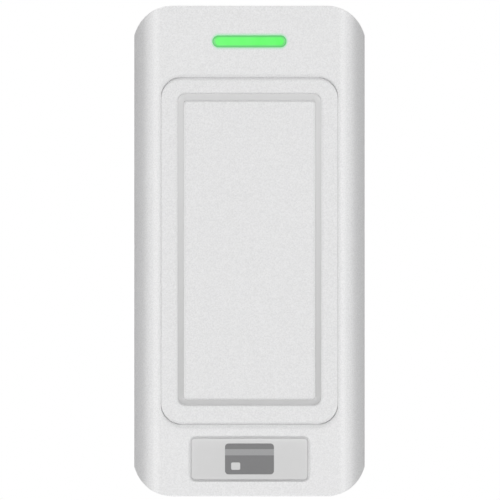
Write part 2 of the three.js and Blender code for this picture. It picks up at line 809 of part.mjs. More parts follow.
function housingPieces() {
  const housing = new THREE.Group();
  housing.add(
    named("front_cover", frontCover(), FINISH.housing()),
    named("fascia", fascia(), FINISH.housing()),
    named("ring_inlay", ringInlay(), FINISH.ring()),
    named("status_light_pipe", lightPipe(), FINISH.light()),
    named("badge_plate", badgePlate(), FINISH.badge()),
    named("rear_cover", rearCover(), FINISH.rearPlastic()),
    named("rear_gasket", rearGasket(), FINISH.rubber()),
    named("cable_grommet", cableGrommet(), FINISH.rubber()),
    named("plunger_seal", plungerSeal(), FINISH.rubber()),
    ...screwSet("rear_cover_screw", LID_SCREW, REAR.flangeBack - GAP, rearScrewPlaces),
  );
  return housing;
}

function electronics() {
  const inside = new THREE.Group();
  inside.add(
    named("circuit_board", circuitBoard(), FINISH.board()),
    ...screwSet("board_screw", BOARD_SCREW, BOARD.back - GAP, BOARD.screws),
    named("coil_former", coilFormer(), FINISH.former()),
    named("antenna_coil", antennaCoil(), FINISH.copper()),
    named("voltage_regulator", rearPart(REGULATOR), FINISH.chip()),
    named("buzzer", buzzer(), FINISH.chip()),
    named("wire_header", wireHeader(), FINISH.former()),
    named("tamper_switch", tamperSwitch(), FINISH.chip()),
    named("tamper_plunger", tamperPlunger(), FINISH.former()),
  );
  for (const [name, part] of Object.entries(FRONT_PARTS)) {
    inside.add(named(name, frontPart(part), FINISH[part.look]()));
  }
  CAPACITOR.places.forEach((place, index) => {
    const capacitor = can(place, CAPACITOR.radius, CAPACITOR.tall);
    inside.add(named(`capacitor_${index + 1}`, capacitor, FINISH.steel()));
  });
  return inside;
}

const group = new THREE.Group();
group.add(wallSide(), housingPieces(), electronics(), clampPieces());

export default group;
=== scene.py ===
import json
import math
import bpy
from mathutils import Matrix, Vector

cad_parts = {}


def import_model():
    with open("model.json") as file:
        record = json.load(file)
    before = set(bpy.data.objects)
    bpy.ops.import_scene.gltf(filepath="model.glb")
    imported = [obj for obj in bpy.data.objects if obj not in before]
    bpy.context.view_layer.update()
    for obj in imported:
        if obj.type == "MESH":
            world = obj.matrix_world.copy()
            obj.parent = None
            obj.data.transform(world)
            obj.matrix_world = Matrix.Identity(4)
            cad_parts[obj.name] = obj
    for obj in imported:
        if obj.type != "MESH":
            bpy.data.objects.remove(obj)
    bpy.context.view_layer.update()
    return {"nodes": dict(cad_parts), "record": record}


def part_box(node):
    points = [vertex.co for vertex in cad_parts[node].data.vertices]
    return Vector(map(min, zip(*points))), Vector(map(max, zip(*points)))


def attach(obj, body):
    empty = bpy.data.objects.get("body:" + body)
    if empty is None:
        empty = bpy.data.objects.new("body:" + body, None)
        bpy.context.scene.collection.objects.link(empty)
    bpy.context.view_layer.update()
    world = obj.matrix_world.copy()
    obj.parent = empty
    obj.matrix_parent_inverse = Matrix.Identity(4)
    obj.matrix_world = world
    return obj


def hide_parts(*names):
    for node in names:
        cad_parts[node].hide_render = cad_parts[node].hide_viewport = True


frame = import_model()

from types import SimpleNamespace as Sizes

import bmesh
import bpy
from mathutils import Vector

# The looks of a wall-mounted card reader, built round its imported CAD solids.
# Shapes are drawn in millimetres as (across, depth, height): depth runs forward from the wall,
# and height is the frame's own z. mesh_object() turns them into the frame's metres.

MM = 0.001
WELD = 1e-7  # metres; vertices closer than this are one vertex
PAST = 1.0  # how far a cutter runs past what it cuts
LEAST_RADIUS = 0.02  # corners of an outline that shrinks stay this round


def span(node):
    """A CAD node's box in millimetres, with its middle and half sizes."""
    low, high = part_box(node)
    s = Sizes(left=low.x / MM, right=high.x / MM, low=low.z / MM, high=high.z / MM)
    s.back, s.front = -high.y / MM, -low.y / MM
    s.across, s.mid = (s.left + s.right) / 2, (s.low + s.high) / 2
    s.half, s.tall = (s.right - s.left) / 2, (s.high - s.low) / 2
    return s


COVER = span("front_cover")
PANEL = span("fascia")
RING = span("ring_inlay")
LIGHT = span("status_light_pipe")
BADGE = span("badge_plate")
PLATE = span("wall_plate")
LID = span("rear_cover")
GROMMET = span("cable_grommet")
SEAL = span("plunger_seal")
SCREW = span("clamp_screw")
NUT = span("clamp_nut")
PLUNGER = span("tamper_plunger")
BOARD = span("circuit_board")

# ------------ meshes


def mesh_object(name, points, faces):
    """A mesh from (across, depth, height) points in millimetres, welded, its normals outwards."""
    mesh = bpy.data.meshes.new(name)
    mesh.from_pydata([(x * MM, -depth * MM, z * MM) for x, depth, z in points], [], faces)
    bm = bmesh.new()
    bm.from_mesh(mesh)
    bmesh.ops.remove_doubles(bm, verts=bm.verts, dist=WELD)
    bmesh.ops.recalc_face_normals(bm, faces=bm.faces)
    bm.to_mesh(mesh)
    bm.free()
    obj = bpy.data.objects.new(name, mesh)
    bpy.context.scene.collection.objects.link(obj)
    return obj


def between(here, there, count):
    """The quads between two loops of count points, given the index that each loop starts at."""
    pairs = [(i, (i + 1) % count) for i in range(count)]
    return [(here + i, here + j, there + j, there + i) for i, j in pairs]


def skin(name, loops, closed=False):
    """Joins loops of 3-D points, all of one length, with capped ends unless the stack is closed."""
    count = len(loops[0])
    faces = []
    pairs = len(loops) if closed else len(loops) - 1
    for row in range(pairs):
        faces += between(row * count, (row + 1) % len(loops) * count, count)
    if not closed:
        faces.append(tuple(range(count))[::-1])
        faces.append(tuple(range((len(loops) - 1) * count, len(loops) * count)))
    return mesh_object(name, [p for loop in loops for p in loop], faces)


def rounded(half, low, high, radius, steps=8, low_radius=None):
    """A rounded rectangle in the front plane, anticlockwise seen from the front."""
    lower = radius if low_radius is None else low_radius
    corners = [
        (half - radius, high - radius, radius, 0),
        (radius - half, high - radius, radius, 90),
        (lower - half, low + lower, lower, 180),
        (half - lower, low + lower, lower, 270),
    ]
    points = []
    for x, z, r, start in corners:
        for i in range(steps + 1):
            angle = math.radians(start + 90 * i / steps)
            points.append((x + r * math.cos(angle), z + r * math.sin(angle)))
    return points


def grown_box(box, by):
    """box = (half, low, high, radius), moved outwards."""
    half, low, high, radius = box
    return (half + by, low - by, high + by, radius + by)


def grown(box, by, steps=8):
    """The rounded outline of box, moved outwards."""
    return flared(box, by, by, steps)


def flared(box, side, end, steps=8):
    """The outline of box moved outwards by one amount at its sides and another at its ends."""
    half, low, high, radius = box
    radius = max(radius + (side + end) / 2, LEAST_RADIUS)
    return rounded(half + side, low - end, high + end, radius, steps)


def roll(width, tilt, steps=7):
    """(inset, drop) pairs of an edge that rolls over to a tilt within a width, from its foot up."""
    radius = width / math.sin(math.radians(tilt))
    angles = [math.radians(tilt) * (steps - i) / steps for i in range(steps + 1)]
    return [(width - radius * math.sin(a), radius * (1 - math.cos(a))) for a in angles]


def inset_at(edge, drop):
    """The inset of a rolled edge at a drop below the face."""
    for (near, low), (far, high) in zip(edge, edge[1:]):
        if high <= drop <= low:
            return near + (far - near) * (low - drop) / (low - high)
    return 0.0 if drop > edge[0][1] else edge[-1][0]


def loft(name, sections):
    """Joins front-plane outlines, each at its own depth."""
    return skin(name, [[(x, depth, z) for x, z in outline] for outline, depth in sections])


def prism(name, outline, back, front):
    return loft(name, [(outline, back), (outline, front)])


def quarter(radius, steps=5):
    """(inset, drop) pairs of a rounded edge, from the wall up to the face."""
    angles = [math.pi / 2 * i / steps for i in range(steps + 1)]
    return [(radius * (1 - math.cos(a)), radius * (1 - math.sin(a))) for a in angles]


def slab(name, box, back, front, edge=0.0, back_edge=0.0, steps=8, edge_steps=4):
    """A plate with the rounded outline box, and rounded front and back edges."""
    square = [(0, 0)]
    behind = quarter(back_edge, edge_steps)[::-1] if back_edge else square
    ahead = quarter(edge, edge_steps) if edge else square
    sections = [(grown(box, -inset, steps), back + drop) for inset, drop in behind]
    sections += [(grown(box, -inset, steps), front - drop) for inset, drop in ahead]
    return loft(name, sections)


def opening(name, box, back, face, edge, steps):
    """A cutter for an opening whose edge rolls outwards at the face."""
    sections = [(grown(box, 0, steps), back)]
    sections += [(grown(box, inset, steps), face - drop) for inset, drop in quarter(edge, 6)]
    sections.append((grown(box, edge, steps), face + PAST))
    return loft(name, sections)


def sweep(name, profile, across, width):
    """A (depth, height) profile swept across."""
    ends = (across - width / 2, across + width / 2)
    return skin(name, [[(x, depth, z) for depth, z in profile] for x in ends])


def block(name, across, heights, depths):
    """A plain box between two values of each."""
    (low, high), (back, front) = heights, depths
    profile = [(back, low), (front, low), (front, high), (back, high)]
    return sweep(name, profile, sum(across) / 2, across[1] - across[0])


def turned(name, profile, at, upright=False, steps=32, ring=False):
    """A (radius, along) profile, from axis to axis or round a ring's section, turned about a line
    out of the wall at (across, height) or an upright one at (across, depth)."""
    rows = []
    for r, along in profile:
        row = []
        for i in range(steps):
            angle = 2 * math.pi * i / steps
            x, other = at[0] + r * math.cos(angle), at[1] + r * math.sin(angle)
            row.append((x, other, along) if upright else (x, along, other))
        rows.append(row)
    return skin(name, rows, closed=ring)


def rounded_profile(corners, steps=4):
    """A closed (radius, depth) profile, each corner (radius, depth, fillet) rounded."""
    points = []
    count = len(corners)
    for i, (r, depth, fillet) in enumerate(corners):
        here = Vector((r, depth))
        before = (Vector(corners[i - 1][:2]) - here).normalized()
        after = (Vector(corners[(i + 1) % count][:2]) - here).normalized()
        if not fillet:
            points.append(tuple(here))
            continue
        half = before.angle(after) / 2
        reach = fillet / math.tan(half)
        start, end = here + before * reach, here + after * reach
        centre = here + (before + after).normalized() * (fillet / math.sin(half))
        a, b = start - centre, end - centre
        total = a.angle_signed(b)
        for k in range(steps + 1):
            angle = -total * k / steps
            c, s = math.cos(angle), math.sin(angle)
            points.append((centre.x + a.x * c - a.y * s, centre.y + a.x * s + a.y * c))
    return points


def bent_strip(path, thickness, radius, steps=6):
    """The section of a sheet bent along a path of (depth, height) points with square corners."""
    left, right = [], []
    for i, point in enumerate(path):
        here = Vector(point)
        ahead = (Vector(path[i + 1]) - here).normalized() if i + 1 < len(path) else None
        behind = (here - Vector(path[i - 1])).normalized() if i else None
        if ahead is None or behind is None:
            way = ahead or behind
            side = Vector((-way.y, way.x)) * thickness / 2
            left.append(here + side)
            right.append(here - side)
            continue
        inward = (ahead - behind).normalized()
        centre = here + (ahead - behind) * radius
        start = here - behind * radius - centre
        turns_left = Vector((-behind.y, behind.x)).dot(inward) > 0
        for k in range(steps + 1):
            angle = math.copysign(math.pi / 2 * k / steps, behind.x * ahead.y - behind.y * ahead.x)
            c, s = math.cos(angle), math.sin(angle)
            out = Vector((start.x * c - start.y * s, start.x * s + start.y * c)).normalized()
            near = centre + out * (radius - thickness / 2)
            far = centre + out * (radius + thickness / 2)
            left.append(near if turns_left else far)
            right.append(far if turns_left else near)
    return [tuple(p) for p in left + right[::-1]]


def bake(obj):
    """Replaces an object's mesh with what its modifiers make of it."""
    bpy.context.view_layer.update()
    graph = bpy.context.evaluated_depsgraph_get()
    mesh = bpy.data.meshes.new_from_object(obj.evaluated_get(graph))
    obj.modifiers.clear()
    old, obj.data = obj.data, mesh
    bpy.data.meshes.remove(old)


def combine(target, operation, tools):
    """Cuts or joins closed tools into the target, and removes them."""
    for tool in tools:
        modifier = target.modifiers.new("combine", "BOOLEAN")
        modifier.operation = operation
        modifier.solver = "MANIFOLD"
        modifier.object = tool
    bake(target)
    for tool in tools:
        bpy.data.objects.remove(tool)


def cut(target, *tools):
    combine(target, "DIFFERENCE", tools)


def join(target, *tools):
    combine(target, "UNION", tools)


def bevel(obj, width, segments=2, angle=40):
    modifier = obj.modifiers.new("bevel", "BEVEL")
    modifier.width = width * MM
    modifier.segments = segments
    modifier.limit_method = "ANGLE"
    modifier.angle_limit = math.radians(angle)
    modifier.miter_outer = "MITER_ARC"
    bake(obj)


def smooth(obj, angle=34):
    """Smooth shading that keeps true corners, with flat faces left flat."""
    obj.data.shade_smooth()
    obj.data.set_sharp_from_angle(angle=math.radians(angle))
    modifier = obj.modifiers.new("normals", "WEIGHTED_NORMAL")
    modifier.keep_sharp = True


# ------------ materials


class Surface:
    """A Principled material fed by patterns in the object's own space."""

    def __init__(self, name, roughness=0.5, metallic=0.0, **constants):
        self.material = bpy.data.materials.new(name)
        self.material.use_nodes = True
        self.tree = self.material.node_tree
        self.shader = self.tree.nodes["Principled BSDF"]
        self.shader.inputs["Roughness"].default_value = roughness
        self.shader.inputs["Metallic"].default_value = metallic
        for key, value in constants.items():
            self.shader.inputs[key.replace("_", " ")].default_value = value
        self.place = self.node("TexCoord", output="Object")

    def plug(self, socket, value):
        """Feeds an input socket from another socket, or sets it."""
        if isinstance(value, bpy.types.NodeSocket):
            self.tree.links.new(value, socket)
        else:
            socket.default_value = value

    def node(self, kind, inputs=None, output=0, **settings):
        made = self.tree.nodes.new("ShaderNode" + kind)
        for key, value in settings.items():
            setattr(made, key, value)
        for key, value in (inputs or {}).items():
            self.plug(made.inputs[key], value)
        return made.outputs[output]

    def math(self, operation, *values):
        return self.node("Math", dict(enumerate(values)), operation=operation)

    def noise(self, size, detail=2.0, roughness=0.5, stretch=(1, 1, 1)):
        """Noise whose features are about size millimetres across."""
        place = self.node("Mapping", {"Vector": self.place, "Scale": stretch})
        inputs = {"Vector": place, "Scale": 1 / (size * MM)}
        inputs.update(Detail=detail, Roughness=roughness)
        return self.node("TexNoise", inputs, output="Fac")

    def cells(self, size, **settings):
        """Distance from the middles of cells that are about size millimetres across."""
        inputs = {"Vector": self.place, "Scale": 1 / (size * MM)}
        return self.node("TexVoronoi", inputs, output="Distance", **settings)

    def ranged(self, value, low, high, to_low, to_high, smooth_steps=False):
        """A value's range from low to high, mapped to another and clamped."""
        ends = {"From Min": low, "From Max": high, "To Min": to_low, "To Max": to_high}
        inputs = {"Value": value, **ends}
        kind = "SMOOTHSTEP" if smooth_steps else "LINEAR"
        return self.node("MapRange", inputs, output="Result", interpolation_type=kind)

    def spread(self, noise, to_low, to_high):
        """A noise, which mostly stays between 0.3 and 0.7, mapped to another range."""
        return self.ranged(noise, 0.3, 0.7, to_low, to_high)

    def mix(self, factor, first, second, blend="MIX"):
        """Two colours, mixed: the node's colour sockets are inputs 6 and 7, and output 2."""
        made = self.tree.nodes.new("ShaderNodeMix")
        made.data_type = "RGBA"
        made.blend_type = blend
        self.plug(made.inputs[0], factor)
        for socket, value in ((made.inputs[6], first), (made.inputs[7], second)):
            self.plug(socket, value if isinstance(value, bpy.types.NodeSocket) else (*value, 1))
        return made.outputs[2]

    def grey(self, value):
        return self.node("CombineColor", {"Red": value, "Green": value, "Blue": value})

    def tinted(self, colour, value):
        """A colour multiplied by a pattern that runs round 1."""
        return self.mix(1.0, colour, self.grey(value), "MULTIPLY")

    def position(self):
        parts = self.tree.nodes.new("ShaderNodeSeparateXYZ")
        self.tree.links.new(self.place, parts.inputs[0])
        return parts.outputs

    def edges(self, radius):
        """1 on rounded edges, 0 on the flats: worn edges on the metal parts, and painted highlights
        on the housing's end rims and the panel's edges.
        """
        soft = self.node("Bevel", {"Radius": radius * MM}, samples=4)
        flat = self.node("NewGeometry", output="Normal")
        same = self.node("VectorMath", {0: soft, 1: flat}, output="Value", operation="DOT_PRODUCT")
        return self.ranged(same, 0.99, 0.8, 0.0, 1.0)

    def feed(self, key, value):
        self.tree.links.new(value, self.shader.inputs[key])

    def bump(self, height, distance):
        """Bump whose full height is distance millimetres."""
        inputs = {"Height": height, "Distance": distance * MM, "Strength": 1.0}
        return self.node("Bump", inputs, output="Normal")

    def finish(self, colour, roughness=None, normal=None):
        """Feeds the shader's colour, roughness and normal, and returns the material."""
        for key, value in (("Base Color", colour), ("Roughness", roughness), ("Normal", normal)):
            if value is not None:
                self.feed(key, value)
        return self.material


LIGHT_FLANGE = 1.0  # the light guide's flange, hidden behind the housing's face
GRAINED = {"roughness": 0.56, "Specular_IOR_Level": 0.35}
HOUSING_ALBEDO = (0.80, 0.80, 0.803)
LIGHT_GREEN = (0.085, 0.85, 0.104)
SHADED_RIM_GREEN = (0.12, 0.52, 0.16)
# where the housing gets painted highlights: insets from its long sides and its ends, and how much
# lighter
CREST_HIGHLIGHT = Sizes(inner=(5.7, 4.7), outer=(4.5, 3.6), lift=0.062)
END_RIM_HIGHLIGHT = Sizes(reach=(1.2, 0.6), wear=0.3, lift=0.42)
# colour (but for the inks), tint, roughness, cloud and grain as (size, detail), and bump
INK = ((0.95, 1.05), (0.45, 0.58), (0.18, 2.0), (0.18, 2.0), 0.002)
NYLON = ((0.68, 0.64, 0.54), (0.95, 1.05), (0.42, 0.56), (3.0, 3.0), (0.3, 2.0), 0.01)
CHIP = ((0.022, 0.022, 0.024), (0.8, 1.25), (0.5, 0.7), (2.0, 2.0), (0.12, 3.0), 0.01)
LAMP = ((0.85, 0.82, 0.68), (0.94, 1.04), (0.22, 0.36), (0.6, 2.0), (0.6, 2.0), 0.01)
# painted reflection on the ring: place from the ring's foot to its top, and grey
RING_REFLECTION_GREYS = [(0.0, 0.494), (0.14, 0.509), (0.5, 0.558), (0.87, 0.597), (1.0, 0.585)]


def light_distance(surface):
    """Distance in millimetres from the status bar's outline, in the front plane."""
    half, tall, mid = LIGHT.half - LIGHT_FLANGE, LIGHT.tall - LIGHT_FLANGE, LIGHT.mid + 0.05
    x, _, z = surface.position()
    along = surface.math("SUBTRACT", surface.math("ABSOLUTE", x), (half - tall) * MM)
    along = surface.math("MAXIMUM", along, 0.0)
    up = surface.math("SUBTRACT", z, mid * MM)
    squares = surface.math("POWER", along, 2.0), surface.math("MULTIPLY", up, up)
    length = surface.math("SQRT", surface.math("ADD", *squares))
    return surface.math("SUBTRACT", surface.math("DIVIDE", length, MM), tall)


def grained(surface, colour, grain=0.26, depth=0.012):
    """Moulded plastic with a fine spark-eroded grain."""
    fine = surface.noise(grain, detail=2.0, roughness=0.6)
    pits = surface.cells(grain * 1.4, feature="SMOOTH_F1")
    broad = surface.noise(26.0, detail=1.0)
    tint = surface.spread(broad, -0.004, 0.004)
    shade = surface.math("ADD", surface.spread(fine, 0.921, 1.079), tint)
    surface.feed("Roughness", surface.spread(fine, 0.5, 0.62))
    height = surface.math("ADD", fine, surface.math("MULTIPLY", pits, 0.5))
    surface.feed("Normal", surface.bump(height, depth))
    return surface.tinted(colour, shade)


def painted_crest_highlight(surface):
    """1, rising to a little more along the crest of each long edge, where a highlight is painted.
    """
    across = surface.math("DIVIDE", surface.math("ABSOLUTE", surface.position()[0]), MM)
    rise, fall = [[COVER.half - inset for inset in insets] for insets in (CREST_HIGHLIGHT.inner, CREST_HIGHLIGHT.outer)]
    inner = surface.ranged(across, *rise, 0.0, 1.0, True)
    outer = surface.ranged(across, *fall, 1.0, 0.0, True)
    both = surface.math("MULTIPLY", inner, outer)
    return surface.math("ADD", 1.0, surface.math("MULTIPLY", both, CREST_HIGHLIGHT.lift))


def painted_end_highlight(surface):
    """A painted highlight along the front rim of the square-cut ends."""
    _, _, z = surface.position()
    above = surface.math("SUBTRACT", z, COVER.mid * MM)
    from_middle = surface.math("DIVIDE", surface.math("ABSOLUTE", above), MM)
    start, full = [COVER.tall - inset for inset in END_RIM_HIGHLIGHT.reach]
    at_end = surface.ranged(from_middle, start, full, 0.0, 1.0)
    # painted highlight: a mask on the ends' rounded front edges, lightened below
    edge_mask = surface.math("MULTIPLY", surface.edges(END_RIM_HIGHLIGHT.wear), at_end)
    return surface.math("MULTIPLY", edge_mask, END_RIM_HIGHLIGHT.lift)


def housing_material():
    """The grained plastic, with the light bar's glow on the slot round it."""
    surface = Surface("housing", **GRAINED, Emission_Strength=1.0)
    colour = grained(surface, HOUSING_ALBEDO)
    # painted highlights: lighter along the crests of the long edges and the front rims of the ends
    colour = surface.tinted(colour, surface.math("ADD", painted_crest_highlight(surface), painted_end_highlight(surface)))
    away = light_distance(surface)
    glow = surface.ranged(away, -0.05, 0.55, 1.0, 0.0, True)
    colour = surface.mix(surface.math("MULTIPLY", glow, 0.7), colour, (0.36, 0.74, 0.46))
    surface.feed("Emission Color", surface.mix(glow, (0.0, 0.0, 0.0), (0.0, 0.06, 0.01)))
    return surface.finish(colour)


def panel_material():
    surface = Surface("panel", **GRAINED)
    colour = grained(surface, tuple(0.986 * value for value in HOUSING_ALBEDO))
    # painted highlight: the panel's rounded edges up to 8% lighter
    edge_highlight = surface.math("ADD", 1.0, surface.math("MULTIPLY", surface.edges(0.18), 0.08))
    return surface.finish(surface.tinted(colour, edge_highlight))


def ring_material():
    """Smooth satin plastic, with a painted reflection that darkens it a little towards its foot."""
    surface = Surface("ring", roughness=0.34)
    height = surface.position()[2]
    # painted reflection: the grey rises from the ring's foot to near its top
    shade = surface.tree.nodes.new("ShaderNodeValToRGB")
    surface.plug(shade.inputs[0], surface.ranged(height, RING.low * MM, RING.high * MM, 0.0, 1.0))
    ends = shade.color_ramp.elements[0], shade.color_ramp.elements[1]
    for element, (place, value) in zip(ends, (RING_REFLECTION_GREYS[0], RING_REFLECTION_GREYS[-1])):
        element.position, element.color = place, (value, value, value, 1)
    for place, value in RING_REFLECTION_GREYS[1:-1]:
        shade.color_ramp.elements.new(place).color = (value, value, value, 1)
    haze = surface.noise(1.8, detail=2.0)
    return surface.finish(
        surface.tinted(shade.outputs[0], surface.spread(haze, 0.995, 1.005)),
        surface.spread(haze, 0.32, 0.38),
        surface.bump(surface.noise(0.5), 0.001),
    )


def light_material():
    """A lit light guide: full green in its body, with painted shade that deepens the green along
    its rim.
    """
    dark_green = (0.02, 0.10, 0.02, 1)
    surface = Surface("status_light", roughness=0.22, Base_Color=dark_green, Emission_Strength=1.0)
    away = light_distance(surface)
    inside = surface.ranged(away, -0.72, -0.3, 1.0, 0.0, True)
    cloud = surface.noise(2.4, detail=1.0)
    lit = surface.tinted(LIGHT_GREEN, surface.spread(cloud, 0.985, 1.015))
    # painted shade: the emitted green darkens towards the rim
    surface.feed("Emission Color", surface.mix(inside, SHADED_RIM_GREEN, lit))
    surface.feed("Roughness", surface.spread(cloud, 0.2, 0.26))
    return surface.material


def badge_material():
    surface = Surface("badge", roughness=0.42)
    haze = surface.noise(1.2, detail=2.0)
    return surface.finish(
        surface.tinted((0.604, 0.604, 0.604), surface.spread(haze, 0.993, 1.007)),
        surface.spread(haze, 0.38, 0.46),
        surface.bump(surface.noise(0.35), 0.0015),
    )


def speckled(name, colour, tint, rough, cloud, fine, depth, **constants):
    """A plain material: a cloud tints it, and a finer pattern sets its roughness and its bump."""
    surface = Surface(name, **constants)
    tone, grain = [surface.noise(size, detail=detail) for size, detail in (cloud, fine)]
    return surface.finish(
        surface.tinted(colour, surface.spread(tone, *tint)),
        surface.spread(grain, *rough),
        surface.bump(grain, depth),
    )


def rear_plastic_material():
    surface = Surface("rear_plastic", roughness=0.55)
    return surface.finish(grained(surface, (0.58, 0.585, 0.59), 0.35, 0.02))


def rubber_material():
    surface = Surface("rubber", roughness=0.8)
    dust, fine = surface.noise(0.8, detail=4.0, roughness=0.7), surface.noise(0.12, detail=2.0)
    shade = surface.ranged(dust, 0.35, 0.75, 0.8, 1.7)
    return surface.finish(
        surface.tinted((0.025, 0.025, 0.028), shade),
        surface.spread(dust, 0.72, 0.9),
        surface.bump(fine, 0.02),
    )


def zinc_material():
    """Zinc-plated sheet: rolled grain, faint passivation clouds and rubbed edges."""
    surface = Surface("zinc_steel", metallic=1.0)
    grain = surface.noise(0.16, detail=3.0, stretch=(1, 1, 0.08))
    cloud = surface.noise(9.0, detail=3.0, roughness=0.6)
    edges, patchy = surface.edges(0.35), surface.noise(1.1, detail=3.0)
    edge_mask = surface.math("MULTIPLY", edges, surface.ranged(patchy, 0.4, 0.6, 0.2, 1.0))
    clouded = surface.ranged(cloud, 0.35, 0.65, 0.0, 1.0)
    base = surface.mix(clouded, (0.615, 0.625, 0.635), (0.645, 0.643, 0.632))
    drift = surface.spread(cloud, -0.014, 0.014)
    rough = surface.math("ADD", surface.spread(grain, 0.3, 0.46), drift)
    return surface.finish(
        surface.mix(edge_mask, base, (0.78, 0.78, 0.77)),
        surface.math("SUBTRACT", rough, surface.math("MULTIPLY", edge_mask, 0.1)),
        surface.bump(grain, 0.004),
    )


def screw_material():
    """Bright machined steel with turning marks."""
    surface = Surface("screw_steel", metallic=1.0)
    marks, stain = surface.noise(0.07, detail=2.0), surface.noise(1.4, detail=3.0)
    stained = surface.ranged(stain, 0.35, 0.65, 0.0, 1.0)
    base = surface.mix(stained, (0.56, 0.56, 0.57), (0.64, 0.63, 0.61))
    return surface.finish(
        surface.mix(surface.edges(0.15), base, (0.8, 0.8, 0.79)),
        surface.spread(marks, 0.22, 0.38),
        surface.bump(marks, 0.003),
    )


def board_material():
    """Green solder mask over copper tracks, with bare pads."""
    surface = Surface("board", roughness=0.35)
    upright = {"Vector": surface.place, "Rotation": (math.pi / 2, 0, 0)}
    bricks = {"Vector": surface.node("Mapping", upright), "Scale": 260.0}
    bricks.update({"Mortar Size": 0.016, "Mortar Smooth": 0.2})
    tracks = surface.node("TexBrick", bricks, output="Fac")
    pads = surface.ranged(surface.cells(2.3), 0.1, 0.13, 1.0, 0.0)
    weave = surface.noise(0.4, detail=2.0)
    mask = surface.mix(tracks, (0.012, 0.085, 0.032), (0.02, 0.15, 0.055))
    mask = surface.mix(surface.spread(weave, 0.0, 0.25), mask, (0.008, 0.06, 0.025))
    return surface.finish(
        surface.mix(pads, mask, (0.75, 0.72, 0.62)),
        surface.spread(weave, 0.28, 0.42),
        surface.bump(surface.math("ADD", tracks, pads), 0.03),
    )


def copper_material():
    """Enamelled wire, wound side by side."""
    surface = Surface("copper", metallic=1.0, roughness=0.3)
    wire_width = 0.25
    depth = surface.position()[1]
    wire = surface.math("SINE", surface.math("MULTIPLY", depth, 2 * math.pi / (wire_width * MM)))
    tone = surface.noise(2.0, detail=2.0)
    return surface.finish(
        surface.tinted((0.72, 0.30, 0.12), surface.spread(tone, 0.85, 1.1)),
        surface.spread(tone, 0.24, 0.36),
        surface.bump(wire, 0.05),
    )


def can_material():
    surface = Surface("can", metallic=1.0)
    drawn = surface.noise(0.2, detail=2.0, stretch=(1, 0.05, 1))
    return surface.finish(
        surface.mix(surface.edges(0.2), (0.68, 0.68, 0.69), (0.82, 0.82, 0.82)),
        surface.spread(drawn, 0.2, 0.4),
        surface.bump(drawn, 0.004),
    )


def floor_material():
    surface = Surface("floor", roughness=0.7)
    tone = surface.noise(60.0, detail=2.0)
    return surface.finish(surface.tinted((0.82, 0.82, 0.82), surface.spread(tone, 0.99, 1.01)))


LOOKS = {
    "housing": housing_material(),
    "ring": ring_material(),
    "status_light": light_material(),
    "badge": badge_material(),
    "rear_plastic": rear_plastic_material(),
    "rubber": rubber_material(),
    "zinc_steel": zinc_material(),
    "screw_steel": screw_material(),
    "board": board_material(),
    "natural_plastic": speckled("natural_plastic", *NYLON, roughness=0.5, Subsurface_Weight=0.08),
    "copper": copper_material(),
    "chip": speckled("chip", *CHIP, roughness=0.6),
    "can": can_material(),
    "lamp": speckled("lamp", *LAMP, roughness=0.3, Subsurface_Weight=0.1),
}


def piece(obj, body, slot, *nodes, look=None, angle=34):
    """Finishes a visual piece: its shading, material, body and the CAD nodes it stands for."""
    smooth(obj, angle)
    obj.data.materials.clear()
    obj.data.materials.append(look or LOOKS[slot])
    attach(obj, body)
    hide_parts(*nodes)


def finish_cad_nodes():
    """Gives the CAD nodes that stay in view their slot's material."""
    for row in frame["record"]["subparts"]:
        node = frame["nodes"][row["node"]]
        if not node.hide_render:
            node.material_slots[0].material = LOOKS[row["material_slot"]]
            smooth(node)


# ------------ housing

# A corner's arc starts at start degrees, clipped where it would bulge past the straight side. The
# end's small rounded edge fades in over its first fade degrees.
CORNER = Sizes(half=24.575, radius=8.4, start=16.0, fade=16.0, steps=22, edge=0.12)
EDGE = Sizes(steep=47.0, roll_at=2.76, roll_length=0.58, crown=10.0, width=6.2, steps=36)
INNER_FRONT = COVER.front - 2.2
LEDGE = 9.6  # the floor of the pocket that takes the rear cover
WALL = Sizes(side=2.1, ledge=1.5)
CLAMP_AT = (0, 12)  # the clamp screw's axis, across and depth
CLAMP_RADIUS = 1.8  # what the clamp screw's shank passes through
HOOK_ACROSS = 9
HIDDEN = 0.7  # how far the insert's flange reaches out behind the housing
WINDOW = (PANEL.half - HIDDEN + 0.06, PANEL.low + HIDDEN - 0.16, PANEL.high - HIDDEN + 0.18, 4.2)
WINDOW_GAP = Sizes(side=0.012, end=0.025, foot=0.035)
# (width, tilt) of the rolled lips on both sides of the gap
COVER_LIP = Sizes(side=(1.0, 30), end=(1.3, 58))
WINDOW_LIP = Sizes(side=(0.2, 26), end=(0.75, 59))
RING_OUTER = (RING.half + 0.05, RING.low + 0.1, RING.high - 0.07, 1.6)
RING_INNER = (RING.half - 1.16, RING.low + 1.18, RING.high - 1.42, 0.75)
RING_FACE = RING.front + 0.05
BADGE_FLOOR = (BADGE.half + 0.42, BADGE.low - 0.46, BADGE.high + 0.4, 0.95)
BAR = (LIGHT.half - LIGHT_FLANGE, LIGHT.low + 1.14, LIGHT.high - 1.09, LIGHT.tall - 1.12)
FLANGE = 1.2  # thickness of the insert's and the light guide's rear flanges


def from_foot(height):
    """A height above the housing's lower edge, which the CAD's heights are measured from."""
    return COVER.low + height


BOSS_PLACES = [(x, from_foot(h)) for x in (-18.6, 18.6) for h in (12.4, 97)]
STANDOFF_PLACES = [(x, from_foot(h)) for x, h in ((-11, 12.1), (11, 12.1), (-13, 91.5), (13, 91.5))]


def edge_tilt(inset):
    """How far a long edge leans back at an inset from the side: steep, then a faint crown."""
    steep = EDGE.steep / (1 + math.exp((inset - EDGE.roll_at) / EDGE.roll_length))
    return steep + EDGE.crown * (1 - inset / EDGE.width)


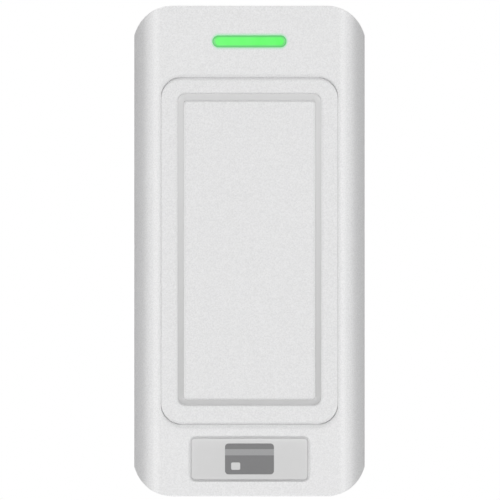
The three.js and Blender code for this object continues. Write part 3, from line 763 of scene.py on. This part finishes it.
def long_edge():
    """(inset, drop) points of a long edge, from the flat face out to the side."""
    step = EDGE.width / EDGE.steps
    points = [(EDGE.width, 0.0)]
    for _ in range(EDGE.steps):
        inset, drop = points[-1]
        slope = math.tan(math.radians(edge_tilt(inset - step / 2)))
        points.append((inset - step, drop + step * slope))
    return points


LONG_EDGE = long_edge()


def face_depth(x):
    """Depth of the housing's face at a distance from the middle."""
    inset = COVER.half - abs(x)
    for (far, high), (near, low) in zip(LONG_EDGE, LONG_EDGE[1:]):
        if near <= inset <= far:
            return COVER.front - high - (low - high) * (far - inset) / (far - near)
    return COVER.front if inset > EDGE.width else COVER.front - LONG_EDGE[-1][1]


def corner_fade(angle):
    """How much of the end's rounded edge is left where the corner nears the long side."""
    t = min(max((angle - CORNER.start) / CORNER.fade, 0.0), 1.0)
    return t * t * (3 - 2 * t)


def corner_points(inset):
    """The top right corner's arc, from the long side to the end: (across, height, fade)."""
    centre = (CORNER.half - CORNER.radius, COVER.high - CORNER.radius)
    points = []
    for i in range(CORNER.steps + 1):
        angle = CORNER.start + (90 - CORNER.start) * i / CORNER.steps
        fade = corner_fade(angle)
        radius = CORNER.radius - inset * fade
        c, s = math.cos(math.radians(angle)), math.sin(math.radians(angle))
        points.append((min(centre[0] + radius * c, COVER.half), centre[1] + radius * s, fade))
    return points


def housing_loop(inset, depth_at):
    """A loop round the housing at an inset; depth_at(across, fade) gives each point's depth."""
    corner = corner_points(inset)
    back = corner[::-1]
    middle = COVER.mid
    loop = []
    for right, up, arc in ((1, 1, corner), (-1, 1, back), (-1, -1, corner), (1, -1, back)):
        loop += [(right * x, depth_at(x, fade), middle + up * (z - middle)) for x, z, fade in arc]
    return loop


def housing_face(points, faces):
    """Rows across the front face between the corner arcs, each clipped to the outline."""
    corner = corner_points(CORNER.edge)
    rows = [(x, 2 * COVER.mid - z) for x, z, _ in corner[::-1]] + [(x, z) for x, z, _ in corner]
    right = [COVER.half - inset for inset, _ in LONG_EDGE]
    columns = [-x for x in right[::-1]] + right
    start = len(points)
    for limit, z in rows:
        for x in columns:
            clipped = max(-limit, min(limit, x))
            points.append((clipped, face_depth(clipped), z))
    count = len(columns)
    for row in range(len(rows) - 1):
        for column in range(count - 1):
            a = start + row * count + column
            faces.append((a, a + 1, a + 1 + count, a + count))


def housing_blank():
    """The housing's closed outer form."""
    rim = 0.25
    loops = [
        housing_loop(rim, lambda x, fade: COVER.back),
        housing_loop(0, lambda x, fade: COVER.back + rim),
    ]
    for inset, drop in quarter(CORNER.edge, 4):
        loops.append(housing_loop(inset, lambda x, fade, d=drop: face_depth(x) - d * fade))
    count = len(loops[0])
    points = [point for loop in loops for point in loop]
    faces = []
    for row in range(len(loops) - 1):
        faces += between(row * count, (row + 1) * count, count)
    faces.append(tuple(range(count))[::-1])
    housing_face(points, faces)
    return mesh_object("housing", points, faces)


def badge_cutter():
    """A recess whose walls slope down to the badge."""
    half, low, high, radius = BADGE_FLOOR
    mouth = (0.54, 0.62, 0.46)
    stations = [  # side, top, foot and drop, from its floor to its mouth
        (0, 0, 0, 1.6),
        (0, 0, 0, 0.9),
        (0, 0.36, 0.2, 0.36),
        (0.46, 0.56, 0.4, 0.04),
        (*mouth, 0),
        (*mouth, -PAST),
    ]
    sections = []
    for side, top, foot, drop in stations:
        rounding = radius + (side + (top + foot) / 2) / 2
        outline = rounded(half + side, low - foot, high + top, rounding)
        sections.append((outline, COVER.front - drop))
    return loft("badge_cutter", sections)


def window_cutter():
    """The insert's opening, with a fine gap round it and a lip that rolls over at the face."""
    side, end = roll(*COVER_LIP.side), roll(*COVER_LIP.end)
    gap = WINDOW_GAP
    box = (WINDOW[0], WINDOW[1] - gap.foot, *WINDOW[2:])
    stations = [(0, 0, INNER_FRONT - PAST)]
    stations += [(inset_at(side, d), inset_at(end, d), COVER.front - d) for _, d in end]
    stations.append((side[-1][0], end[-1][0], COVER.front + PAST))
    return loft("window_cutter", [
        (flared(box, gap.side + by_side, gap.end + by_end, 12), depth)
        for by_side, by_end, depth in stations
    ])


def clamp_hole():
    """The countersunk hole in the housing's lower end."""
    mouth, inside = 3.1, 3
    rows = [(0, -PAST), (mouth, -PAST), (mouth, 0.15), (CLAMP_RADIUS, 1.55), (CLAMP_RADIUS, inside)]
    profile = [(r, from_foot(h)) for r, h in [*rows, (0, inside)]]
    return turned("clamp_hole", profile, CLAMP_AT, upright=True, steps=40)


def boss(name, at, radius, back, front, chamfer=0.2):
    """A round bar out of the wall, chamfered at its back."""
    rim = [(radius - chamfer, back), (radius, back + chamfer), (radius, front)]
    return turned(name, [(0, back), *rim, (0, front)], at)


def hook_rib(side):
    """The round-footed rib inside the upper end that hangs on one of the wall plate's hooks."""
    depth, radius, top, steps = 2.6, 0.8, from_foot(102), 14
    angles = [math.pi * (1 + i / steps) for i in range(steps + 1)]
    foot = [(depth + radius * math.cos(a), from_foot(99.5) + radius * math.sin(a)) for a in angles]
    return sweep("hook_rib", foot + [(3.4, top), (1.8, top)], side * HOOK_ACROSS, 7)


def nut_guide(side):
    """A rib that keeps the nut from turning."""
    near, far = side * (NUT.half + 0.3), side * (NUT.half + 1.5)
    return block("nut_guide", sorted((near, far)), (from_foot(5.4), from_foot(9)), (LEDGE, 17))


def housing():
    """The moulded front cover: pocket, chambers, ribs, bosses and the openings in its face."""
    pocket = COVER.half - WALL.side
    chamber = pocket - WALL.ledge
    main = rounded(chamber, from_foot(10.2), from_foot(99.5), 4.8, low_radius=1)
    lower = rounded(chamber, from_foot(2), from_foot(8.7), 0.3, low_radius=6.3)
    root = INNER_FRONT + 0.3
    obj = housing_blank()
    cut(
        obj,
        prism("pocket", rounded(pocket, from_foot(2), from_foot(101), 6.3, 10), -PAST, LEDGE),
        prism("chamber", main, LEDGE - PAST, INNER_FRONT),
        prism("compartment", lower, LEDGE - PAST, INNER_FRONT),
    )
    join(
        obj,
        *[rib(side) for side in (-1, 1) for rib in (hook_rib, nut_guide)],
        *[boss("boss", at, 2.5, LEDGE, root) for at in BOSS_PLACES],
        *[boss("standoff", at, 2.2, BOARD.front + 0.3, root) for at in STANDOFF_PLACES],
    )
    cut(
        obj,
        window_cutter(),
        opening("light_slot", grown_box(BAR, 0.01), INNER_FRONT - PAST, COVER.front, 0.07, 16),
        badge_cutter(),
        clamp_hole(),
        *[boss("pilot", at, 1.4, LEDGE - 2, INNER_FRONT - PAST) for at in BOSS_PLACES],
        *[boss("pilot", at, 1.2, BOARD.front, INNER_FRONT - PAST) for at in STANDOFF_PLACES],
    )
    piece(obj, "reader", "housing", "front_cover")


# ------------ front pieces


def groove_side(name, box, out, ends, back, front):
    """A closed form whose wall slopes away from the ring, outwards (1) or inwards (-1)."""
    half_way = COVER.front - 0.55 * (COVER.front - RING_FACE)
    sides = (0.01, 0.01, 0.02, 0.46, 0.56, 0.56)
    depths = (back, RING_FACE, half_way, COVER.front - 0.03, COVER.front, front)
    outlines = [flared(box, out * side, out * end) for side, end in zip(sides, ends)]
    return loft(name, list(zip(outlines, depths)))


def panel():
    """The window insert: rounded rim, rear flange and the ring's groove."""
    inner_face = 20.9
    side, end = roll(*WINDOW_LIP.side), roll(*WINDOW_LIP.end)
    sections = [(grown(WINDOW, 0, 12), PANEL.back)]
    for _, d in end:
        outline = flared(WINDOW, -inset_at(side, d), -inset_at(end, d), 12)
        sections.append((outline, COVER.front - d))
    obj = loft("window_panel", sections)
    flange = grown_box(WINDOW, 0.6)
    join(obj, slab("flange", flange, PANEL.back, PANEL.back + FLANGE, back_edge=0.2, steps=12))
    ends, back, front = (0.01, 0.01, 0.15, 0.28, 0.34, 0.34), RING.back - 0.3, COVER.front + PAST
    groove = groove_side("groove", RING_OUTER, 1, ends, back, front)
    ends, back, front = (0.01, 0.01, 0.18, 0.36, 0.44, 0.44), RING.back - PAST, front + PAST
    cut(groove, groove_side("island", RING_INNER, -1, ends, back, front))
    cut(obj, groove, prism("hollow", grown(RING_INNER, -1.2), PANEL.back - PAST, inner_face))
    piece(obj, "reader", "housing", "fascia", look=panel_material())


def ring():
    """The ring in its groove, with a hair of an edge on both sides."""
    edge = quarter(0.03, 2)
    sections = [(grown(RING_OUTER, 0), RING.back)]
    sections += [(grown(RING_OUTER, -inset), RING_FACE - drop) for inset, drop in edge]
    sections += [(grown(RING_INNER, inset), RING_FACE - drop) for inset, drop in edge[::-1]]
    sections.append((grown(RING_INNER, 0), RING.back))
    loops = [[(x, depth, z) for x, z in outline] for outline, depth in sections]
    piece(skin("ring", loops, closed=True), "reader", "ring", "ring_inlay")


def light_bar():
    """The light guide: a bar just below the face, and the flange that stops it."""
    obj = slab("light_bar", BAR, LIGHT.back, COVER.front - 0.02, edge=0.3, steps=16, edge_steps=5)
    flange, depths = grown_box(BAR, LIGHT_FLANGE), (PANEL.back, PANEL.back + FLANGE)
    join(obj, slab("light_flange", flange, *depths, edge=0.15, back_edge=0.15, steps=16))
    piece(obj, "reader", "status_light", "status_light_pipe")


def badge():
    obj = slab("badge", grown_box(BADGE_FLOOR, -0.01), BADGE.back, BADGE.front, edge=0.06)
    piece(obj, "reader", "badge", "badge_plate")


def pictogram():
    """A plain card with a stripe and a chip square, printed on the badge."""
    dark = speckled("ink_dark", (0.165, 0.165, 0.168), *INK, roughness=0.5)
    pale = speckled("ink_mid", (0.31, 0.31, 0.315), *INK, roughness=0.5)
    half, tall, radius = 5.15, 3.25, 0.75
    middle, printed = BADGE.mid, (BADGE.front, BADGE.front + 0.02)
    through = (BADGE.front - PAST, BADGE.front + PAST)
    obj = slab("badge_card", (half, middle - tall, middle + tall, radius), *printed)
    stripe = (middle + 0.75, middle + 2.05)
    cut(obj, block("stripe", (-half - PAST, half + PAST), stripe, through))
    chip_middle = -2.9
    chip = rounded(0.95, middle - 2.3, middle - 0.75, 0.3)
    cut(obj, prism("chip_hole", [(chip_middle + x, z) for x, z in chip], *through))
    piece(obj, "reader", "badge", look=dark)
    piece(block("badge_stripe", (-half, half), stripe, printed), "reader", "badge", look=pale)


# ------------ wall side

SHEET = 1.2  # the wall plate's thickness
MID_SHEET = SHEET / 2


def hook(side, root, turn_at):
    """A strip bent out of the sheet's upper edge: forward, then up into the housing."""
    reach = 4.6
    path = [(MID_SHEET, root), (MID_SHEET, turn_at), (reach, turn_at), (reach, PLATE.high)]
    return sweep("hook", bent_strip(path, SHEET, 1.1), side * HOOK_ACROSS, 8)


def wall_plate():
    """Sheet steel, punched, with two hooks and a slotted flange bent out of it."""
    foot, top = PLATE.low, from_foot(97)
    under, over = foot - PAST, foot + 3
    through = (-PAST, 3)
    obj = prism("wall_plate", rounded(21.5, foot, top, 5, 10), 0, SHEET)
    cut(obj, block("relief", (-8.9, 8.9), (under, foot + 2.8), through))
    level = foot + MID_SHEET
    path = [(MID_SHEET, foot + 4), (MID_SHEET, level), (PLATE.front, level)]
    flange = sweep("flange", bent_strip(path, SHEET, 1.5), 0, 16)
    join(obj, flange, *[hook(side, top - 2, from_foot(97.8)) for side in (-1, 1)])
    half, tall = 3.5, 1.9
    slots = []
    for middle in (from_foot(h) for h in (9.85, 21.5, 81.5, 93.15)):
        slots.append(rounded(half, middle - tall, middle + tall, tall - 0.01, 10))
    bore = [(0, under), (CLAMP_RADIUS, under), (CLAMP_RADIUS, over), (0, over)]
    mouth = (CLAMP_AT[1], PLATE.front + PAST)
    cut(
        obj,
        *[prism("slot", outline, *through) for outline in slots],
        prism("cable_hole", rounded(7, from_foot(29.5), from_foot(43.5), 3), *through),
        turned("clamp_slot", bore, CLAMP_AT, upright=True),
        block("mouth", (-CLAMP_RADIUS, CLAMP_RADIUS), (under, over), mouth),
    )
    bevel(obj, 0.14)
    piece(obj, "mounting", "zinc_steel", "wall_plate", angle=30)


def threaded(name, radius, pitch, low, high, at, steps=24):
    """An upright threaded rod: the radius follows the helix, and tapers at both ends."""
    depth, taper, lead = 0.28, 0.25, 0.35
    rows = []
    count = int((high - low) / (pitch / 6))
    for k in range(count + 1):
        z = low + (high - low) * k / count
        full = max(min((z - low) / lead, (high - z) / lead, 1.0), 0.0)
        row = []
        for i in range(steps):
            angle = 2 * math.pi * i / steps
            phase = (z / pitch + i / steps) % 1.0
            r = radius - (depth * abs(2 * phase - 1) + 0.02) - taper * (1 - full)
            row.append((at[0] + r * math.cos(angle), at[1] + r * math.sin(angle), z))
        rows.append(row)
    return skin(name, rows)


def clamp_screw():
    """Countersunk socket screw with its real 0.5 mm thread."""
    low, shank, socket = SCREW.low, 1.5, 1.02
    head = [(2.55, 0), (2.8, 0.18), (2.78, 0.3), (1.52, 1.42), (1.45, 2.2), (0, 2.2)]
    rows = [(0, low)] + [(r, low + up) for r, up in head]
    obj = turned("clamp_screw", rows, CLAMP_AT, upright=True, steps=40)
    join(obj, threaded("thread", shank, 0.5, low + 1.6, SCREW.high, CLAMP_AT))
    under = low - PAST
    hexagon = [(0, under), (socket, under), (socket, low + 1.1), (0, low + 1.3)]
    cut(obj, turned("socket", hexagon, CLAMP_AT, upright=True, steps=6))
    piece(obj, "screw", "screw_steel", "clamp_screw", angle=30)


def clamp_nut():
    """A square nut with a chamfered bore."""
    low, high, chamfer, mouth = NUT.low, NUT.high, 0.35, 2.2
    obj = block("clamp_nut", (-NUT.half, NUT.half), (low, high), (NUT.back, NUT.front))
    lower = [(0, low - PAST), (mouth, low - PAST), (CLAMP_RADIUS, low + chamfer)]
    upper = [(CLAMP_RADIUS, high - chamfer), (mouth, high + PAST), (0, high + PAST)]
    cut(obj, turned("bore", lower + upper, CLAMP_AT, upright=True))
    bevel(obj, 0.22, 3)
    piece(obj, "nut", "zinc_steel", "clamp_nut")


# ------------ rear of the reader


def rear_cover():
    """The lid, bulged towards the wall, with its holes."""
    rim = rounded(LID.half, LID.low, LID.high, 6.0, 10, 1.5)
    rim_back, wall = 6.4, 1.5
    obj = prism("rear_lid", rim, rim_back, LID.front)
    bulge = (17, from_foot(17), from_foot(94), 3.0)
    join(obj, slab("bulge", bulge, LID.back, rim_back + 1, back_edge=0.8))
    hollow = grown_box(bulge, -wall)
    under, over = LID.back - PAST, LID.front + PAST
    cut(
        obj,
        slab("hollow", hollow, LID.back + wall, over, back_edge=0.4),
        *[boss("hole", at, 1.4, LID.back, over) for at in BOSS_PLACES],
        boss("cable", (0, GROMMET.mid), 4.2, under, LID.front),
        boss("plunger", (PLUNGER.across, PLUNGER.mid), 2.6, under, LID.front),
    )
    bevel(obj, 0.15)
    piece(obj, "reader", "rear_plastic", "rear_cover")


def grommet():
    bore, neck, rim, lip = 3.0, 3.9, 5.5, 1.2
    back, front = GROMMET.back, GROMMET.front
    end = [(bore, 0, 0.3), (rim, 0, 0.45), (rim, lip, 0.3), (neck, lip, 0)]
    corners = [(r, back + inset, fillet) for r, inset, fillet in end]
    corners += [(r, front - inset, fillet) for r, inset, fillet in end[::-1]]
    obj = turned("grommet", rounded_profile(corners), (0, GROMMET.mid), steps=48, ring=True)
    piece(obj, "reader", "rubber", "cable_grommet")


def plunger_seal():
    bore, neck, rim, lip = 1.6, 2.3, 3.4, 0.8
    back, front = SEAL.back, SEAL.front
    corners = [
        (bore, back, 0.2),
        (rim, back, 0.25),
        (rim, back + lip, 0.15),
        (neck, back + lip, 0.0),
        (neck, front, 0.0),
        (bore, front, 0.0),
    ]
    at = (SEAL.across, SEAL.mid)
    obj = turned("plunger_lip", rounded_profile(corners), at, steps=36, ring=True)
    piece(obj, "reader", "rubber", "plunger_seal")


def dome(radius, back, height, steps):
    """(radius, depth) points of a domed end, from the axis out to its rim."""
    angles = [math.pi / 2 * i / steps for i in range(steps + 1)]
    return [(radius * math.sin(a), back + height * (1 - math.cos(a))) for a in angles]


def plunger():
    """A pin with a domed tip and a collar that the cover keeps in."""
    radius, collar, front = 1.3, 2.0, PLUNGER.front
    edge = collar - 0.1
    rows = dome(radius, PLUNGER.back, 0.9, 8)
    rows += [(radius, 6.2), (edge, 6.2), (collar, 6.3), (collar, 6.8), (edge, 6.9), (radius, 6.9)]
    rows += [(radius, front - 0.1), (radius - 0.1, front), (0, front)]
    obj = turned("plunger", rows, (PLUNGER.across, PLUNGER.mid), steps=36)
    piece(obj, "plunger", "natural_plastic", "tamper_plunger")


def pan_screw(node, head_radius, head, shank, length):
    """A pan-head screw with a cross recess, in the place of a CAD node."""
    box = span(node)
    x, z, back = box.across, box.mid, box.back
    seat = back + head
    rows = dome(head_radius, back, head * 0.55, 7) + [(head_radius, seat), (shank, seat)]
    rows += [(shank, seat + length - 0.6), (0, seat + length)]
    obj = turned(node + "_look", rows, (x, z), steps=28)
    recess = (back - PAST, back + 0.8)
    sizes = ((1.0, 0.22), (0.22, 1.0))
    cut(obj, *[block("arm", (x - w, x + w), (z - h, z + h), recess) for w, h in sizes])
    piece(obj, "reader", "screw_steel", node)


# ------------ studio


LIGHT_AIM = Vector((0, -0.01, 0))  # metres
CAMERA = Sizes(lens=400.0, sensor=36.0, picture_width=105.015, across=0.11, above=0.21)
FLOOR = Sizes(reach=1200, below=68)


def area_light(name, azimuth, elevation, distance, size, power):
    """A soft box, placed round the reader; azimuth 0 is straight in front and 90 is its right."""
    lamp = bpy.data.lights.new(name, "AREA")
    lamp.shape = "RECTANGLE"
    lamp.size, lamp.size_y = size
    lamp.energy = power
    obj = bpy.data.objects.new(name, lamp)
    az, el = math.radians(azimuth), math.radians(elevation)
    way = Vector((math.sin(az) * math.cos(el), -math.cos(az) * math.cos(el), math.sin(el)))
    obj.location = LIGHT_AIM + way * distance
    obj.rotation_euler = (-way).to_track_quat("-Z", "Y").to_euler()
    obj.visible_camera = False
    bpy.context.scene.collection.objects.link(obj)


def world(ambient):
    """White behind the reader, and a dimmer even light from all round."""
    made = bpy.data.worlds.new("studio")
    bpy.context.scene.world = made
    made.use_nodes = True
    tree = made.node_tree
    tree.nodes.clear()
    rays = tree.nodes.new("ShaderNodeLightPath")
    seen, lit = [tree.nodes.new("ShaderNodeBackground") for _ in range(2)]
    seen.inputs["Color"].default_value = (1, 1, 1, 1)
    lit.inputs["Color"].default_value = (*ambient, 1)
    mix, out = tree.nodes.new("ShaderNodeMixShader"), tree.nodes.new("ShaderNodeOutputWorld")
    tree.links.new(rays.outputs["Is Camera Ray"], mix.inputs[0])
    tree.links.new(lit.outputs[0], mix.inputs[1])
    tree.links.new(seen.outputs[0], mix.inputs[2])
    tree.links.new(mix.outputs[0], out.inputs[0])


def camera():
    """A long lens straight in front, level with the reader's middle."""
    data = bpy.data.cameras.new("camera")
    data.lens, data.sensor_width = CAMERA.lens, CAMERA.sensor
    data.clip_end = 20.0
    obj = bpy.data.objects.new("camera", data)
    distance = CAMERA.picture_width * MM * CAMERA.lens / CAMERA.sensor
    height = COVER.mid * MM + CAMERA.above * MM
    obj.location = (CAMERA.across * MM, -COVER.front * MM - distance, height)
    obj.rotation_euler = (math.pi / 2, 0, 0)
    bpy.context.scene.collection.objects.link(obj)
    bpy.context.scene.camera = obj


def floor():
    corners = [(-1, -1), (1, -1), (1, 1), (-1, 1)]
    level = COVER.low - FLOOR.below
    points = [(x * FLOOR.reach, depth * FLOOR.reach, level) for x, depth in corners]
    obj = mesh_object("floor", points, [(0, 1, 2, 3)])
    obj.data.materials.append(floor_material())


def studio():
    bpy.context.scene.view_settings.view_transform = "Standard"
    world((0.025, 0.025, 0.026))
    for side in (-1, 1):
        area_light(f"key_{side}", side * 15, 6, 2.2, (0.5, 0.7), 18.5)
        area_light(f"rear_{side}", side * 145, 25, 1.2, (0.6, 0.6), 4.0)
    area_light("top", 180, 72, 1.3, (0.9, 0.9), 4.0)
    floor()


housing()
panel()
ring()
light_bar()
badge()
pictogram()
wall_plate()
clamp_screw()
clamp_nut()
rear_cover()
grommet()
plunger_seal()
plunger()
for number in range(1, 5):
    pan_screw(f"rear_cover_screw_{number}", 2.1, 1.5, 1.1, 9)
    pan_screw(f"board_screw_{number}", 1.9, 1.3, 0.95, 5)
finish_cad_nodes()
studio()
camera()
